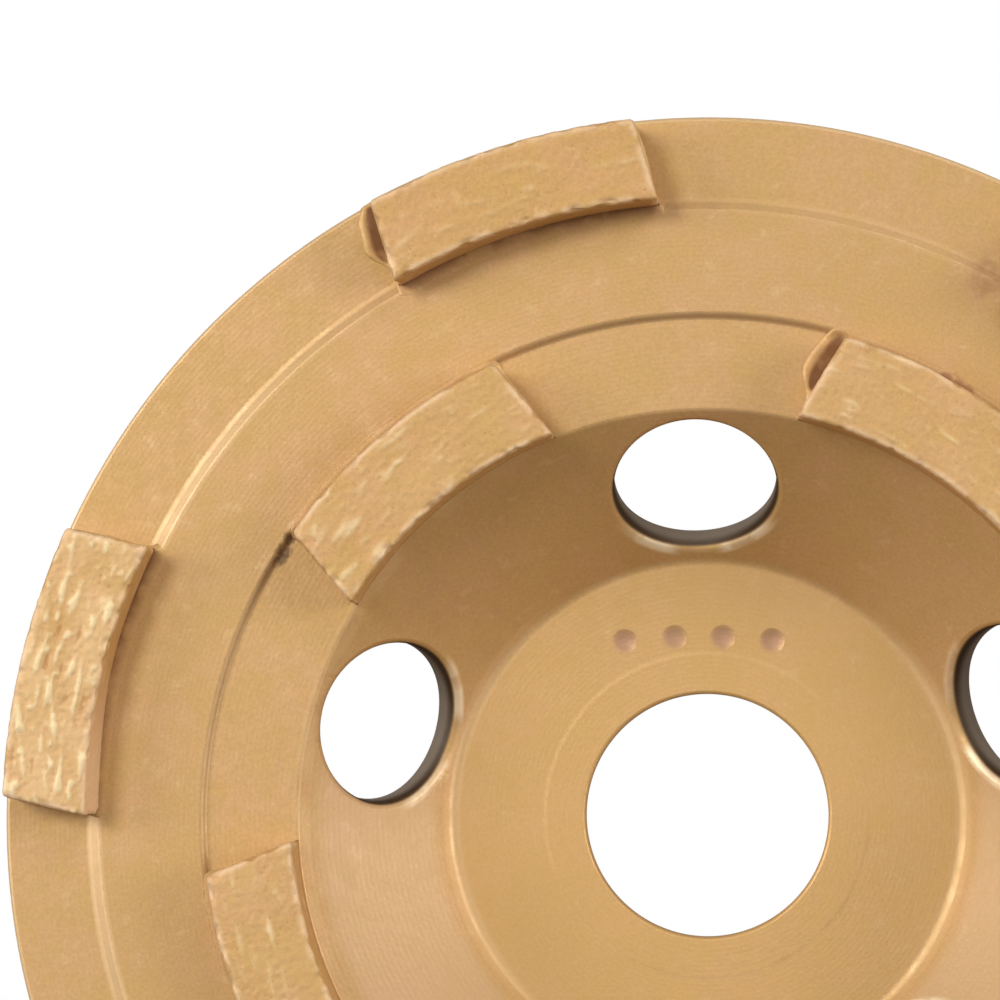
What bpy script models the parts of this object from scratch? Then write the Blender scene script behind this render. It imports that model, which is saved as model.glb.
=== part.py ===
"""Double row diamond cup wheel, 125 mm across.

The cup is one steel piece of revolution: a flat hub with the spindle bore, a cone wall with cooling
holes drilled square to it, and a flat rim. Two rings are turned down on the rim's front as seats,
which leaves a raised ridge between them. Each seat carries a ring of grinding segments, brazed down
flat and against the ridge's shoulder. A segment follows the ring along its sides and has parallel ends.

Units are metres. The origin is the centre of the hub's back face, and +Z points to the grinding side.
"""

import math

import bmesh
import bpy
from mathutils import Matrix, Vector

# Rim, with its two seats and the ridge between them
RIM_DIAMETER = 0.1250
RIM_THICKNESS = 0.0030
OUTER_SEAT_WIDTH = 0.0082
INNER_SEAT_WIDTH = 0.0082
RIDGE_WIDTH = 0.0099
RIDGE_HEIGHT = 0.0005
SHOULDER_RUN = 0.0003

# Hub, flat on both sides round its bore
BORE_DIAMETER = 0.02223
HUB_THICKNESS = 0.0030

# Cone wall between hub and rim
CUP_DEPTH = 0.0124
CONE_SLOPE = math.radians(44)
CONE_WALL = 0.0025

# Bends and edges of the cup
HUB_FRONT_RADIUS = 0.0015
HUB_BACK_RADIUS = 0.0040
RIM_FRONT_RADIUS = 0.0008
RIM_BACK_RADIUS = 0.0025
BORE_CHAMFER = 0.0004
RIM_CHAMFER = 0.0004

# Cooling holes
HOLE_COUNT = 5
HOLE_DIAMETER = 0.0160
FIRST_HOLE_ANGLE = math.radians(91.6)

# Grinding segments
OUTER_SEGMENT_COUNT = 6
OUTER_SEGMENT_LENGTH = 0.0245
OUTER_SEGMENT_INSET = 0.0005
FIRST_OUTER_ANGLE = math.radians(166.95)
INNER_SEGMENT_COUNT = 5
INNER_SEGMENT_LENGTH = 0.0233
FIRST_INNER_ANGLE = math.radians(130.0)
SEGMENT_HEIGHT = 0.0050
SEGMENT_EDGE = 0.0004
BRAZE_GAP = 0.0003

# Fineness of the round forms
TURNED_STEPS = 120
BEND_STEPS = 4
EDGE_STEPS = 1
HOLE_SIDES = 48
SEGMENT_STEPS = 12
SEGMENT_EDGE_STEPS = 2
SMOOTH_BELOW = math.radians(30)

# Places that follow from the sizes above
RIM_RADIUS = RIM_DIAMETER / 2
BORE_RADIUS = BORE_DIAMETER / 2
SEAT_LEVEL = HUB_THICKNESS + CUP_DEPTH
RIM_BACK_LEVEL = SEAT_LEVEL - RIM_THICKNESS
OUTER_SHOULDER_RADIUS = RIM_RADIUS - OUTER_SEAT_WIDTH
INNER_SHOULDER_RADIUS = OUTER_SHOULDER_RADIUS - RIDGE_WIDTH
CONE_TOP_RADIUS = INNER_SHOULDER_RADIUS - INNER_SEAT_WIDTH
CONE_FOOT_RADIUS = CONE_TOP_RADIUS - CUP_DEPTH / math.tan(CONE_SLOPE)

PAINT_COLOUR = (0.672, 0.402, 0.150, 1.0)
SEGMENT_COLOUR = (0.571, 0.371, 0.156, 1.0)


def clear_scene():
    for obj in list(bpy.data.objects):
        bpy.data.objects.remove(obj, do_unlink=True)


def cone_back_radius(level):
    """Radius at which the cone wall's back face, carried on in a straight line, reaches this level."""
    across = CONE_WALL / math.sin(CONE_SLOPE)
    return CONE_FOOT_RADIUS + across + (level - HUB_THICKNESS) / math.tan(CONE_SLOPE)


def rounded_corner(before, corner, after, radius, steps):
    """Points of the arc that rounds a corner. One step makes a chamfer."""
    arriving = (corner - before).normalized()
    leaving = (after - corner).normalized()
    turn = math.atan2(arriving.cross(leaving), arriving.dot(leaving))
    start = corner - arriving * radius * math.tan(abs(turn) / 2)
    side = math.copysign(1, turn)
    centre = start + Vector((-arriving.y, arriving.x)) * radius * side
    return [
        centre + Matrix.Rotation(turn * step / steps, 2) @ (start - centre)
        for step in range(steps + 1)
    ]


def cup_section():
    """Half section of the cup as (radius, level) points, anticlockwise from the bore's back edge."""
    ridge_level = SEAT_LEVEL + RIDGE_HEIGHT
    corners = [
        (BORE_RADIUS, 0, BORE_CHAMFER, EDGE_STEPS),
        (cone_back_radius(0), 0, HUB_BACK_RADIUS, BEND_STEPS),
        (cone_back_radius(RIM_BACK_LEVEL), RIM_BACK_LEVEL, RIM_BACK_RADIUS, BEND_STEPS),
        (RIM_RADIUS, RIM_BACK_LEVEL, RIM_CHAMFER, EDGE_STEPS),
        (RIM_RADIUS, SEAT_LEVEL, RIM_CHAMFER, EDGE_STEPS),
        (OUTER_SHOULDER_RADIUS, SEAT_LEVEL, 0, 0),
        (OUTER_SHOULDER_RADIUS - SHOULDER_RUN, ridge_level, 0, 0),
        (INNER_SHOULDER_RADIUS + SHOULDER_RUN, ridge_level, 0, 0),
        (INNER_SHOULDER_RADIUS, SEAT_LEVEL, 0, 0),
        (CONE_TOP_RADIUS, SEAT_LEVEL, RIM_FRONT_RADIUS, BEND_STEPS),
        (CONE_FOOT_RADIUS, HUB_THICKNESS, HUB_FRONT_RADIUS, BEND_STEPS),
        (BORE_RADIUS, HUB_THICKNESS, BORE_CHAMFER, EDGE_STEPS),
    ]
    section = []
    for index, (radius, level, rounding, steps) in enumerate(corners):
        corner = Vector((radius, level))
        if not rounding:
            section.append(corner)
            continue
        before = Vector(corners[index - 1][:2])
        after = Vector(corners[(index + 1) % len(corners)][:2])
        section += rounded_corner(before, corner, after, rounding, steps)
    return section


def add_object(name, mesh, material):
    obj = bpy.data.objects.new(name, mesh)
    bpy.context.scene.collection.objects.link(obj)
    if not mesh.materials:
        mesh.materials.append(material)
    return obj


def mesh_from(name, bm):
    bmesh.ops.recalc_face_normals(bm, faces=bm.faces)
    mesh = bpy.data.meshes.new(name)
    bm.to_mesh(mesh)
    bm.free()
    return mesh


def shade_round(mesh):
    mesh.shade_smooth()
    mesh.set_sharp_from_angle(angle=SMOOTH_BELOW)


def turned_cup(material):
    """The cup without its cooling holes: the half section spun once about the axis."""
    bm = bmesh.new()
    ring = [bm.verts.new((point.x, 0, point.y)) for point in cup_section()]
    edges = [bm.edges.new((ring[i - 1], ring[i])) for i in range(len(ring))]
    bmesh.ops.spin(
        bm,
        geom=ring + edges,
        axis=(0, 0, 1),
        cent=(0, 0, 0),
        angle=2 * math.pi,
        steps=TURNED_STEPS,
        use_merge=True,
    )
    return add_object("wheel_body", mesh_from("wheel_body", bm), material)


def cooling_hole_drills():
    """Cutter of one cylinder for each hole, square to the cone wall at the middle of its slope."""
    middle = Vector(((CONE_FOOT_RADIUS + CONE_TOP_RADIUS) / 2, 0, HUB_THICKNESS + CUP_DEPTH / 2))
    bm = bmesh.new()
    for index in range(HOLE_COUNT):
        angle = FIRST_HOLE_ANGLE + 2 * math.pi * index / HOLE_COUNT
        turn = Matrix.Rotation(angle, 4, "Z")
        tilt = Matrix.Rotation(-CONE_SLOPE, 4, "Y")
        bmesh.ops.create_cone(
            bm,
            cap_ends=True,
            segments=HOLE_SIDES,
            radius1=HOLE_DIAMETER / 2,
            radius2=HOLE_DIAMETER / 2,
            depth=2 * CUP_DEPTH,
            matrix=turn @ Matrix.Translation(middle) @ tilt,
        )
    drills = bpy.data.objects.new("cooling_hole_drills", mesh_from("cooling_hole_drills", bm))
    bpy.context.scene.collection.objects.link(drills)
    drills.hide_render = True
    drills.display_type = "WIRE"
    return drills


def drill(body, drills):
    boolean = body.modifiers.new("cooling holes", "BOOLEAN")
    boolean.operation = "DIFFERENCE"
    boolean.solver = "EXACT"
    boolean.object = drills
    bpy.context.view_layer.objects.active = body
    bpy.ops.object.modifier_apply(modifier=boolean.name)
    bpy.data.objects.remove(drills, do_unlink=True)


def segment_mesh(name, inner_radius, outer_radius, length):
    """An arc segment about the wheel's axis, with its middle on +X, its seat at z = 0 and parallel ends."""
    inner_half = math.asin(length / 2 / inner_radius)
    outer_half = math.asin(length / 2 / outer_radius)
    shares = [2 * step / SEGMENT_STEPS - 1 for step in range(SEGMENT_STEPS + 1)]
    outline = [(outer_radius, share * outer_half) for share in shares]
    outline += [(inner_radius, -share * inner_half) for share in shares]
    bm = bmesh.new()
    foot = [
        bm.verts.new((radius * math.cos(angle), radius * math.sin(angle), BRAZE_GAP))
        for radius, angle in outline
    ]
    extruded = bmesh.ops.extrude_face_region(bm, geom=[bm.faces.new(foot)])
    top = [item for item in extruded["geom"] if isinstance(item, bmesh.types.BMVert)]
    bmesh.ops.translate(bm, verts=top, vec=(0, 0, SEGMENT_HEIGHT - BRAZE_GAP))
    bmesh.ops.bevel(
        bm,
        geom=[item for item in extruded["geom"] if isinstance(item, bmesh.types.BMEdge)],
        offset=SEGMENT_EDGE,
        segments=SEGMENT_EDGE_STEPS,
        profile=0.5,
        affect="EDGES",
    )
    mesh = mesh_from(name, bm)
    shade_round(mesh)
    return mesh


def segment_ring(row, count, first_angle, mesh, body, material):
    """One object for each segment of a row, all of them fixed to the body."""
    for index in range(count):
        segment = add_object(f"{row}_segment_{index + 1}", mesh, material)
        segment.location.z = SEAT_LEVEL
        segment.rotation_euler.z = first_angle - 2 * math.pi * index / count
        segment.parent = body


def outer_segments(body, material):
    mesh = segment_mesh(
        "outer_segment",
        OUTER_SHOULDER_RADIUS + BRAZE_GAP,
        RIM_RADIUS - OUTER_SEGMENT_INSET,
        OUTER_SEGMENT_LENGTH,
    )
    segment_ring("outer", OUTER_SEGMENT_COUNT, FIRST_OUTER_ANGLE, mesh, body, material)


def inner_segments(body, material):
    mesh = segment_mesh(
        "inner_segment",
        CONE_TOP_RADIUS,
        INNER_SHOULDER_RADIUS - BRAZE_GAP,
        INNER_SEGMENT_LENGTH,
    )
    segment_ring("inner", INNER_SEGMENT_COUNT, FIRST_INNER_ANGLE, mesh, body, material)


def material_of(name, colour, roughness, metallic):
    material = bpy.data.materials.new(name)
    material.use_nodes = True
    shader = material.node_tree.nodes["Principled BSDF"]
    shader.inputs["Base Color"].default_value = colour
    shader.inputs["Roughness"].default_value = roughness
    shader.inputs["Metallic"].default_value = metallic
    material.diffuse_color = colour
    return material


def gold_paint():
    return material_of("gold_paint", PAINT_COLOUR, 0.42, 0.35)


def sintered_bond():
    return material_of("sintered_bond", SEGMENT_COLOUR, 0.70, 0.25)


def main():
    clear_scene()
    body = turned_cup(gold_paint())
    drill(body, cooling_hole_drills())
    shade_round(body.data)
    bond = sintered_bond()
    outer_segments(body, bond)
    inner_segments(body, bond)


main()
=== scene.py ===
# %% [markdown]
# # A double row diamond cup wheel
# This wheel screws to an angle grinder and grinds concrete flat. Its body is one steel cup, turned and
# painted gold. On the rim stand two rings of hard segments, metal powder pressed and sintered with diamond
# grit in it, and brazed down. The packed solids already have the sizes and the places. The lesson dresses
# them: finer round forms, rounded hole mouths, rough grinding faces, braze round every foot, and paint.
# Blender counts in metres here, so a small length is written as a number of millimetres times MM.

import math

import bmesh
import bpy
from mathutils import Matrix, Vector, noise


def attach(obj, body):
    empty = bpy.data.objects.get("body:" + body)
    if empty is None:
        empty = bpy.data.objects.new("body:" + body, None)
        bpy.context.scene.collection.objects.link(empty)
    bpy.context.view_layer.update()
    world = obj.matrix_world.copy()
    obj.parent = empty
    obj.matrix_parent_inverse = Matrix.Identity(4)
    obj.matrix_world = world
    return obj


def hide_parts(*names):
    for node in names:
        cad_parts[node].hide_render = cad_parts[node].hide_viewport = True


MM = 0.001
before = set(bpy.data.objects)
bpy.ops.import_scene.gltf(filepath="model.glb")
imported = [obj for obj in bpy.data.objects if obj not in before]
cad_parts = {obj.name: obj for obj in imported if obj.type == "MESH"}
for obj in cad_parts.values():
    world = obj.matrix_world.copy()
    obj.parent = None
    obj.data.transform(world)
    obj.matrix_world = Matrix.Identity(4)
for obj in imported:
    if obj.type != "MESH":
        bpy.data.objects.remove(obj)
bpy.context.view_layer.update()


def in_mm(lengths):
    return [round(length / MM, 2) for length in lengths]


# %% [markdown]
# ## Camera
# The photographer looked almost straight down into the cup, from about 40 cm, with the wheel's lower right
# running out of the picture. A camera could be turned by hand until it fits. Here it follows from four
# measured things: pixels per metre at the seats, where the axis falls in the frame, how far away the lens
# is, and the point that lies straight below it, which shows, because upright sides lean away from it. The
# rotation is built from the view's own three directions, since pointing straight down leaves roll open.

# %% Camera
SEAT_LEVEL = 15.4 * MM
FRAME_PIXELS = 1000
PIXELS_PER_METRE = 11200
AXIS_PIXEL = Vector((703, 816))
BELOW_LENS = Vector((8 * MM, 5 * MM))
LENS_DISTANCE = 0.385
SENSOR_IN_MM = 36

half_frame = FRAME_PIXELS / 2
middle = Vector((half_frame - AXIS_PIXEL.x, AXIS_PIXEL.y - half_frame)) / PIXELS_PER_METRE
aim = Vector((middle.x, middle.y, SEAT_LEVEL))
eye = Vector((BELOW_LENS.x, BELOW_LENS.y, SEAT_LEVEL + LENS_DISTANCE))
lens = bpy.data.cameras.new("camera")
lens.sensor_width = SENSOR_IN_MM
lens.lens = PIXELS_PER_METRE * (eye - aim).length * SENSOR_IN_MM / FRAME_PIXELS
lens.clip_start = 0.01
camera = bpy.data.objects.new("camera", lens)
bpy.context.scene.collection.objects.link(camera)
ahead = (aim - eye).normalized()
to_right = ahead.cross(Vector((0, 1, 0))).normalized()
upwards = to_right.cross(ahead)
camera.location = eye
camera.rotation_euler = Matrix((to_right, upwards, -ahead)).transposed().to_euler()
bpy.context.scene.camera = camera
bpy.context.scene.view_settings.view_transform = "Standard"
print("focal length", round(lens.lens, 1), "mm, looking at", in_mm(aim))

# %% [markdown]
# ## Floor
# The wheel lies on a white table that the picture shows as pure white, through the bore and the holes too.
# A white floor that is lit like the rest would also throw light up into the hole walls, which are nearly
# black in the photograph. So the floor glows white for the camera alone and is a pale matt grey for
# everything else. A Light Path node tells the two apart.

# %% Floor
FLOOR_SIZE = 6
FLOOR_LEVEL = -0.1 * MM
WHITE = (1, 1, 1, 1)
MATT_GREY = (0.30, 0.30, 0.30, 1)

bpy.ops.object.select_all(action="DESELECT")
bpy.ops.mesh.primitive_plane_add(size=FLOOR_SIZE, location=(0, 0, FLOOR_LEVEL))
floor = bpy.context.active_object
floor.name = "floor"
floor_paint = bpy.data.materials.new("white_table")
floor_paint.use_nodes = True
floor_tree = floor_paint.node_tree
floor_shader = floor_tree.nodes["Principled BSDF"]
floor_shader.inputs["Base Color"].default_value = MATT_GREY
floor_shader.inputs["Roughness"].default_value = 0.9
glow = floor_tree.nodes.new("ShaderNodeEmission")
glow.inputs["Color"].default_value = WHITE
seen_by = floor_tree.nodes.new("ShaderNodeLightPath")
choice = floor_tree.nodes.new("ShaderNodeMixShader")
link = floor_tree.links.new
link(seen_by.outputs["Is Camera Ray"], choice.inputs[0])
link(floor_shader.outputs[0], choice.inputs[1])
link(glow.outputs[0], choice.inputs[2])
link(choice.outputs[0], floor_tree.nodes["Material Output"].inputs["Surface"])
floor.data.materials.append(floor_paint)
print("floor at", in_mm(floor.location))

# %% [markdown]
# ## Light
# The shadows beside the segments are short and soft and fall to the lower right, and the cone wall is
# darkest at the top. Both say that the main lamp stands high at the upper left. Thin pale bands on both
# sides of the hub say that two more stand low at the left and the right. A weaker one at the upper right
# lights the rim there, and a wide, faint one overhead and a warm sky fill the shadows. Area lamps give the
# soft edge. Each is placed by compass angle and height angle, and turned to the wheel.

# %% Light
LAMP_DISTANCE = 2.0
# compass angle and height angle in degrees, width of the face in metres, power in watts
LAMPS = {
    "top_lamp": (100, 84, 1.4, 3.0),
    "key_lamp": (148, 57, 0.6, 14.0),
    "back_lamp": (62, 42, 0.9, 6.0),
    "left_lamp": (168, 31, 0.8, 13.5),
    "right_lamp": (10, 31, 0.8, 16.5),
}
SKY_COLOUR = (1.0, 0.86, 0.72, 1)
SKY_STRENGTH = 0.17

for name, (compass, height, width, power) in LAMPS.items():
    lamp = bpy.data.objects.new(name, bpy.data.lights.new(name, "AREA"))
    lamp.data.shape = "DISK"
    lamp.data.size = width
    lamp.data.energy = power
    compass, height = math.radians(compass), math.radians(height)
    level = LAMP_DISTANCE * math.cos(height)
    lamp.location = (level * math.cos(compass), level * math.sin(compass), LAMP_DISTANCE * math.sin(height))
    lamp.rotation_euler = (-lamp.location).to_track_quat("-Z", "Y").to_euler()
    bpy.context.scene.collection.objects.link(lamp)
studio = bpy.data.worlds.new("studio")
bpy.context.scene.world = studio
studio.use_nodes = True
sky = studio.node_tree.nodes["Background"]
sky.inputs["Color"].default_value = SKY_COLOUR
sky.inputs["Strength"].default_value = SKY_STRENGTH

# %% [markdown]
# ## Helpers for modelling
# An operator works on whatever is selected, and the loaded solids start out selected. So every step first
# clears the selection and then picks one piece. In edit mode, points are picked by a rule on their place,
# as a modeller picks them by eye.

# %% Helpers for modelling
def set_mode(mode):
    bpy.ops.object.mode_set(mode=mode)


def pick_nothing():
    if bpy.context.mode != "OBJECT":
        set_mode("OBJECT")
    bpy.ops.object.select_all(action="DESELECT")


def pick_piece(piece):
    pick_nothing()
    piece.select_set(True)
    bpy.context.view_layer.objects.active = piece


def pick_points(piece, wanted):
    """In edit mode: selects the points for which wanted(place) is true."""
    points = bmesh.from_edit_mesh(piece.data)
    bpy.ops.mesh.select_mode(type="VERT")
    for part in (*points.faces, *points.edges):
        part.select = False
    for point in points.verts:
        point.select = bool(wanted(point.co))
    points.select_flush(True)
    bmesh.update_edit_mesh(piece.data)


def pick_all():
    """In edit mode: selects the whole piece."""
    bpy.ops.mesh.select_all(action="SELECT")


def face_outwards():
    """In edit mode: turns the normals of the whole piece outwards."""
    pick_all()
    bpy.ops.mesh.normals_make_consistent(inside=False)


def new_piece(name):
    piece = bpy.context.active_object
    piece.name = piece.data.name = name
    return piece


def store(piece, label, values):
    """Keeps one number for each point of a piece, for its paint to read."""
    piece.data.attributes.new(label, "FLOAT", "POINT").data.foreach_set("value", values)


def ready(piece, body_node):
    """A finished piece rides on the wheel and stands for its solid, which is hidden."""
    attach(piece, "root")
    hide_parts(body_node)


print("selected before modelling:", len(bpy.context.selected_objects))

# %% [markdown]
# ## The cup's outline
# The real cup is pressed from plate and then turned: hub, cone wall, rim, and the two seats that leave a
# ridge between them. One could start from a cylinder and inset it ring by ring. A half section spun about
# the axis is truer, because a lathe works the same way and every bend gets its exact place. The section
# starts as a plane that is merged to one point. That point is extruded from corner to corner, and the
# corners are then rounded with a vertex bevel, whose offset is the tangent length of the wanted radius.

# %% The cup's outline
BORE = 11.115 * MM
HUB = 3.0 * MM
RIM = 62.5 * MM
RIM_BACK = 12.4 * MM
RIDGE = 15.9 * MM
CONE_FOOT = 23.36 * MM
CONE_TOP = 36.2 * MM
SLOPE = math.radians(44)
BACK_SHIFT = 2.5 * MM / math.sin(SLOPE)
# radius at the foot and at the top of the two shoulders
INNER_SHOULDER = (44.4 * MM, 44.78 * MM)
OUTER_SHOULDER = (54.95 * MM, 54.1 * MM)
STEP_RADIUS = 14.7 * MM
STEP_RUN = 0.25 * MM
STEP_LEVEL = HUB + 0.025 * MM
SAME_PLACE = 1e-6


def cone_back(level):
    return CONE_FOOT + BACK_SHIFT + (level - HUB) / math.tan(SLOPE)


# each corner: radius, level, rounding radius
cup_corners = [
    (BORE, 0, 0.4 * MM),
    (cone_back(0), 0, 4.0 * MM),
    (cone_back(RIM_BACK), RIM_BACK, 2.5 * MM),
    (RIM, RIM_BACK, 0.5 * MM),
    (RIM, SEAT_LEVEL, 0.4 * MM),
    (OUTER_SHOULDER[0], SEAT_LEVEL, 1.1 * MM),
    (OUTER_SHOULDER[1], RIDGE, 0.5 * MM),
    (INNER_SHOULDER[1], RIDGE, 0.5 * MM),
    (INNER_SHOULDER[0], SEAT_LEVEL, 0.4 * MM),
    (CONE_TOP, SEAT_LEVEL, 0.6 * MM),
    (CONE_FOOT, HUB, 1.05 * MM),
    (STEP_RADIUS + STEP_RUN, HUB, 0.1 * MM),
    (STEP_RADIUS, STEP_LEVEL, 0.1 * MM),
    (BORE, STEP_LEVEL, 0.35 * MM),
]


def corner_place(index):
    """Where a corner lies. Counting goes round the section."""
    radius, level, rounding = cup_corners[index % len(cup_corners)]
    return Vector((radius, 0, level))


pick_nothing()
bpy.ops.mesh.primitive_plane_add(size=1 * MM, location=(0, 0, 0))
cup = new_piece("painted_cup")
set_mode("EDIT")
bpy.ops.mesh.merge(type="CENTER")
bpy.ops.transform.translate(value=corner_place(0))
for index in range(1, len(cup_corners)):
    step = corner_place(index) - corner_place(index - 1)
    bpy.ops.mesh.extrude_vertices_move(TRANSFORM_OT_translate={"value": step})
both_ends = corner_place(0), corner_place(-1)
pick_points(cup, lambda place: any((place - end).length < SAME_PLACE for end in both_ends))
bpy.ops.mesh.edge_face_add()
print("corners drawn:", len(bmesh.from_edit_mesh(cup.data).verts))

# %% Round the corners
for index, (radius, level, rounding) in enumerate(cup_corners):
    corner = corner_place(index)
    turn = (corner - corner_place(index - 1)).angle(corner_place(index + 1) - corner)
    steps = 10 if rounding > 1 * MM else 5 if rounding > 0.3 * MM else 3
    tangent = rounding * math.tan(turn / 2)
    pick_points(cup, lambda place: (place - corner).length < SAME_PLACE)
    bpy.ops.mesh.bevel(offset_type="OFFSET", offset=tangent, segments=steps, profile=0.5, affect="VERTICES")
print("points in the section:", len(bmesh.from_edit_mesh(cup.data).verts))

# %% [markdown]
# ## Turning the cup
# Spin sweeps the section once round the axis. Three hundred steps keep the rim round in a close view.
# The last step lands on the first, so doubles are merged. A turned shape can come out inside out, so its
# normals are set to point outwards.

# %% Turning the cup
pick_all()
bpy.ops.mesh.spin(steps=300, angle=2 * math.pi, center=(0, 0, 0), axis=(0, 0, 1), use_auto_merge=True)
pick_all()
bpy.ops.mesh.remove_doubles(threshold=1e-7)
face_outwards()
set_mode("OBJECT")
print("faces after turning:", len(cup.data.polygons))

# %% [markdown]
# ## Cutters for the cooling holes
# Five round holes go through the cone wall, square to it, and the paint has rounded their lips. A plain
# cylinder would leave knife edges, and a bevel on a cut curved wall tears. So each cutter gets flared ends
# of its own. A disc is extruded ring by ring into a stack, and then each ring is set to its radius and
# height. The heights come from rays shot at the uncut wall, so the flare follows its curve on both sides.

# %% Cutters for the cooling holes
HOLE_RADIUS = 7.35 * MM
HOLE_COUNT = 5
FIRST_HOLE = math.radians(91.6)
HOLE_MIDDLE = Vector(((CONE_FOOT + CONE_TOP) / 2, 0, (HUB + SEAT_LEVEL) / 2))
HOLE_SIDES = 120
FRONT_LIP = 0.9 * MM
BACK_LIP = 0.2 * MM
LIP_STEPS = 7
LIP_TURN = math.radians(72)
FLARE = 0.6 * MM
RAY_START = 9 * MM
STACK_STEP = 1 * MM


def wall_height(place, radius, bearing, side):
    """Height of the uncut wall in the hole's own frame, from the front (side 1) or the back (side -1)."""
    start = place @ Vector((radius * math.cos(bearing), radius * math.sin(bearing), side * RAY_START))
    direction = place.to_3x3() @ Vector((0, 0, -side))
    met, point = cup.ray_cast(start, direction)[:2]
    return (place.inverted() @ point).z if met else 0.0


def lip_rings(rounding, height, side):
    """Radii and heights of one flared end, from far outside the wall to the straight bore."""

    def on_lip(turn):
        sunk = rounding * (1 - math.sin(turn))
        return HOLE_RADIUS + rounding * (1 - math.cos(turn)), height - side * sunk

    radius, level = on_lip(LIP_TURN)
    outside = (HOLE_RADIUS + rounding + 0.9 * MM, height + side * 2.5 * MM)
    flared = (radius + math.sin(LIP_TURN) * FLARE, level + side * math.cos(LIP_TURN) * FLARE)
    turns = [LIP_TURN * (1 - step / LIP_STEPS) for step in range(LIP_STEPS + 1)]
    return [outside, flared] + [on_lip(turn) for turn in turns]


def hole_cutter(index):
    turned = Matrix.Rotation(FIRST_HOLE + 2 * math.pi * index / HOLE_COUNT, 4, "Z")
    place = turned @ Matrix.Translation(HOLE_MIDDLE) @ Matrix.Rotation(-SLOPE, 4, "Y")
    pick_nothing()
    bpy.ops.mesh.primitive_circle_add(vertices=HOLE_SIDES, radius=HOLE_RADIUS, fill_type="NGON")
    cutter = new_piece("hole_cutter")
    set_mode("EDIT")
    ring_count = 2 * (LIP_STEPS + 3)
    for ring in range(ring_count - 1):
        bpy.ops.mesh.extrude_region_move(TRANSFORM_OT_translate={"value": (0, 0, STACK_STEP)})
    set_mode("OBJECT")
    rings_at = {}
    for point in cutter.data.vertices:
        bearing = round(math.atan2(point.co.y, point.co.x), 5)
        if bearing not in rings_at:
            back = wall_height(place, HOLE_RADIUS + BACK_LIP, bearing, -1)
            front = wall_height(place, HOLE_RADIUS + FRONT_LIP, bearing, 1)
            rings_at[bearing] = lip_rings(BACK_LIP, back, -1) + lip_rings(FRONT_LIP, front, 1)[::-1]
        radius, height = rings_at[bearing][round(point.co.z / STACK_STEP)]
        point.co = place @ Vector((radius * math.cos(bearing), radius * math.sin(bearing), height))
    return cutter


bpy.context.view_layer.update()
cutters = [hole_cutter(index) for index in range(HOLE_COUNT)]
print("cutters:", len(cutters), "with", len(cutters[0].data.vertices), "points each")

# %% [markdown]
# ## Punch marks
# On the hub, above the bore, the photograph has four small stamped marks. A plain round punch mark stands
# at each place. A punch leaves a shallow bowl, which is the cap of a much larger ball, so four balls are
# sunk into the hub by the depth of the mark and join the other cutters.

# %% Punch marks
MARK_WIDTH = 2.3 * MM
MARK_DEPTH = 0.2 * MM
MARKS = [Vector((x * MM, y * MM, HUB)) for x, y in ((-7.5, 15.9), (-2.9, 16.25), (1.5, 16.25), (6.0, 15.95))]

ball_radius = ((MARK_WIDTH / 2) ** 2 + MARK_DEPTH**2) / (2 * MARK_DEPTH)
for mark in MARKS:
    pick_nothing()
    centre = mark + Vector((0, 0, ball_radius - MARK_DEPTH))
    bpy.ops.mesh.primitive_uv_sphere_add(segments=48, ring_count=64, radius=ball_radius, location=centre)
    cutters.append(new_piece("punch"))
    bpy.ops.object.transform_apply(location=True, rotation=False, scale=False)
print("punch ball radius", round(ball_radius / MM, 2), "mm")

# %% [markdown]
# ## Cutting the cup
# All the cutters are joined into one object and taken from the cup with an exact Boolean, as one drilling
# job. The flat lands then need clean shading beside the small faces of the lips, so a Weighted Normal
# modifier lets the large faces decide. The rims of the punch marks stay sharp.

# %% Cutting the cup
for cutter in cutters:
    pick_piece(cutter)
    set_mode("EDIT")
    face_outwards()
pick_piece(cutters[0])
for cutter in cutters:
    cutter.select_set(True)
bpy.ops.object.join()
drill = bpy.context.active_object
pick_piece(cup)
drilling = cup.modifiers.new("drilling", "BOOLEAN")
drilling.operation = "DIFFERENCE"
drilling.solver = "EXACT"
drilling.object = drill
bpy.ops.object.modifier_apply(modifier=drilling.name)
bpy.data.objects.remove(drill, do_unlink=True)
pick_piece(cup)
bpy.ops.object.shade_smooth_by_angle(angle=math.radians(32))


def rims_a_mark(edge):
    ends = [cup.data.vertices[number].co for number in edge.vertices]
    return any(all(abs((end - mark).length - MARK_WIDTH / 2) < 0.03 * MM for end in ends) for mark in MARKS)


for edge in cup.data.edges:
    if rims_a_mark(edge):
        edge.use_edge_sharp = True
weighing = cup.modifiers.new("weighted normals", "WEIGHTED_NORMAL")
weighing.keep_sharp = True
weighing.weight = 80
bpy.ops.object.modifier_apply(modifier=weighing.name)
print("cup:", len(cup.data.polygons), "faces")

# %% [markdown]
# ## A segment's blank
# Sintered segments come from a press, so they start as one plain blank for each ring. A blank follows the
# ring along its sides but has parallel ends. So a square of the section's size is spun a little too far,
# and two parallel bisect cuts take off the ends. The long edges get a small bevel, and a voxel remesh then
# gives the whole skin even, tiny faces, which the rough surface needs. The foot reaches a little below the
# seat, so that the rough skin leaves no slit there.

# %% A segment's blank
SEGMENT_TOP = 20.4 * MM
SEGMENT_EDGE = 0.35 * MM
SKIN_FACE = 0.19 * MM
FOOT = SEAT_LEVEL - 0.45 * MM
SPARE_TURN = math.radians(2)

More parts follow.
